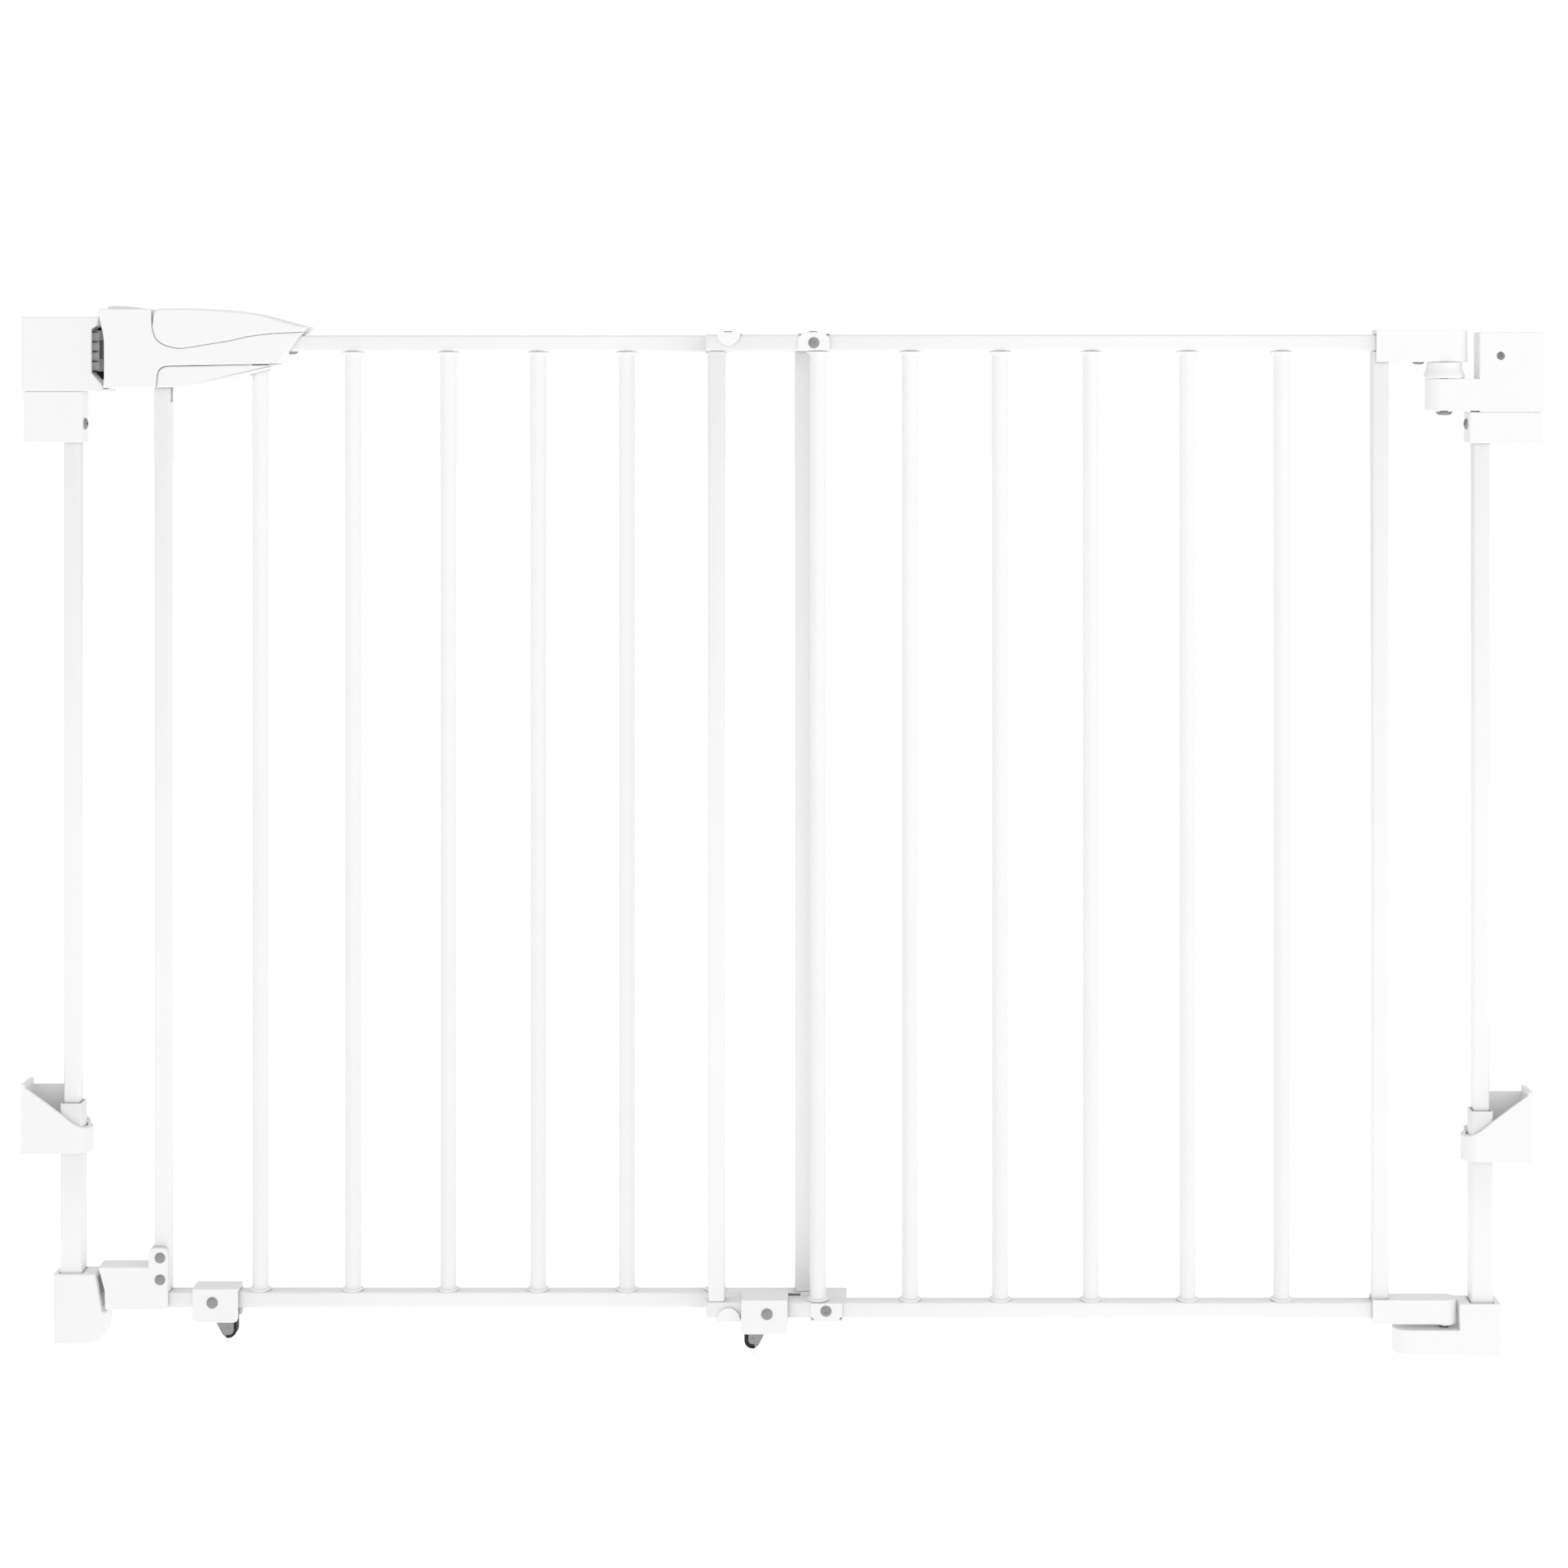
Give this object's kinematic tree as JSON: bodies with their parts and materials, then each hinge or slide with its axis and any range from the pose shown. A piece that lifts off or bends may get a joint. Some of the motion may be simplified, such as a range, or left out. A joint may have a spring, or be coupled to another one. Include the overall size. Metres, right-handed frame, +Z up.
{
  "type": "safety baby gate",
  "caption": "Wall-mounted safety gate of two sliding barred panels, with a squeeze handle, drawn bolts and pinned hinges.",
  "frame": {"origin": "bottom centre of the closed gate: the middle of its width and depth, at floor height", "axes": "+X from the latch wall to the hinge wall, +Y from the front of the gate to its back, +Z up"},
  "size_m": [1.036, 0.0524, 0.711],
  "materials": {
    "white_steel": "satin white powder coat",
    "white_plastic": "satin white moulded plastic",
    "grey_plastic": "matt grey nylon",
    "zinc": "zinc-plated steel",
    "black_rubber": "matt black rubber"
  },
  "bodies": {
    "root": {"hinge_bell": "white_plastic", "hinge_bottom_bracket": "white_plastic", "hinge_bottom_pin": "zinc", "hinge_post_inner": "white_steel", "hinge_post_outer": "white_steel", "hinge_sleeve": "white_plastic", "hinge_top_bracket": "white_steel", "hinge_top_pin": "zinc", "latch_bottom_socket": "white_plastic", "latch_post_inner": "white_steel", "latch_post_outer": "white_steel", "latch_sleeve": "white_plastic", "latch_strike": "white_plastic", "strike_insert": "grey_plastic"},
    "front_panel": {"front_bar_1": "white_steel", "front_bar_2": "white_steel", "front_bar_3": "white_steel", "front_bar_4": "white_steel", "front_bar_5": "white_steel", "front_bar_6": "white_steel", "front_bottom_clip": "white_plastic", "front_bottom_rail": "white_steel", "front_bottom_sleeve": "white_plastic", "front_left_post": "white_steel", "front_lock_housing": "white_plastic", "front_lock_rivet": "zinc", "front_right_post": "white_steel", "front_top_clip": "white_plastic", "front_top_rail": "white_steel", "front_top_sleeve": "white_plastic"},
    "rear_panel": {"grip_cover": "white_plastic", "handle_back_shell": "white_plastic", "handle_front_shell": "white_plastic", "lever_pin": "zinc", "lower_bolt_housing": "white_plastic", "rear_bar_1": "white_steel", "rear_bar_2": "white_steel", "rear_bar_3": "white_steel", "rear_bar_4": "white_steel", "rear_bar_5": "white_steel", "rear_bar_6": "white_steel", "rear_bottom_clip": "white_plastic", "rear_bottom_rail": "white_steel", "rear_left_post": "white_steel", "rear_lock_housing": "white_plastic", "rear_lock_rivet": "zinc", "rear_right_post": "white_steel", "rear_top_clip": "white_plastic", "rear_top_rail": "white_steel"},
    "squeeze_lever": {"squeeze_lever": "white_plastic"},
    "thumb_button": {"thumb_button": "white_plastic"},
    "top_bolt": {"top_bolt": "grey_plastic"},
    "lower_bolt": {"lower_bolt": "grey_plastic"},
    "pull_rod": {"pull_rod": "zinc"},
    "front_pawl": {"front_pawl": "zinc"},
    "rear_pawl": {"rear_pawl": "zinc"},
    "latch_scoop": {"latch_scoop": "white_plastic"},
    "hinge_scoop": {"hinge_scoop": "white_plastic"}
  },
  "joints": [
    {"name": "gate_swing", "type": "hinge", "parent": "root", "child": "front_panel", "pos_m": [0.4526, -0.0124, 0.6852], "axis": [0, 0, 1], "range_deg": [-90, 90]},
    {"name": "width_slide", "type": "slide", "parent": "front_panel", "child": "rear_panel", "axis": [1, 0, 0], "range_m": [0, 0.27]},
    {"name": "lever_squeeze", "type": "hinge", "parent": "rear_panel", "child": "squeeze_lever", "pos_m": [-0.3472, 0.0102, 0.6732], "axis": [0, -1, 0], "range_deg": [0, 6.24], "stiffness_Nm_per_rad": 1.2, "springref_deg": 9.17},
    {"name": "top_bolt_slide", "type": "slide", "parent": "rear_panel", "child": "top_bolt", "axis": [-1, 0, 0], "range_m": [0, 0.0122]},
    {"name": "lower_bolt_slide", "type": "slide", "parent": "rear_panel", "child": "lower_bolt", "axis": [-1, 0, 0], "range_m": [0, 0.0122]},
    {"name": "pull_rod_slide", "type": "slide", "parent": "rear_panel", "child": "pull_rod", "axis": [0, 0, -1], "range_m": [0, 0.00821]},
    {"name": "thumb_press", "type": "hinge", "parent": "rear_panel", "child": "thumb_button", "pos_m": [-0.4336, 0.0102, 0.7068], "axis": [0, -1, 0], "range_deg": [0, 5], "stiffness_Nm_per_rad": 0.6, "springref_deg": -2.86},
    {"name": "rear_pawl_turn", "type": "hinge", "parent": "rear_panel", "child": "rear_pawl", "pos_m": [-0.3874, 0.0102, 0.0289], "axis": [0, 1, 0], "range_deg": [0, 30], "stiffness_Nm_per_rad": 0.1, "springref_deg": -17.19},
    {"name": "front_pawl_turn", "type": "hinge", "parent": "front_panel", "child": "front_pawl", "pos_m": [-0.0072, -0.0124, 0.0289], "axis": [0, -1, 0], "range_deg": [0, 30], "stiffness_Nm_per_rad": 0.1, "springref_deg": -17.19},
    {"name": "latch_scoop_slide", "type": "slide", "parent": "root", "child": "latch_scoop", "axis": [0, 0, 1], "range_m": [-0.075, 0.008]},
    {"name": "hinge_scoop_slide", "type": "slide", "parent": "root", "child": "hinge_scoop", "axis": [0, 0, 1], "range_m": [-0.075, 0.008]}
  ],
  "couplings": [
    {"joint": "top_bolt_slide", "follows": "lever_squeeze", "m_per_rad": 0.11013},
    {"joint": "lower_bolt_slide", "follows": "lever_squeeze", "m_per_rad": 0.11013},
    {"joint": "pull_rod_slide", "follows": "lever_squeeze", "m_per_rad": 0.07526}
  ]
}
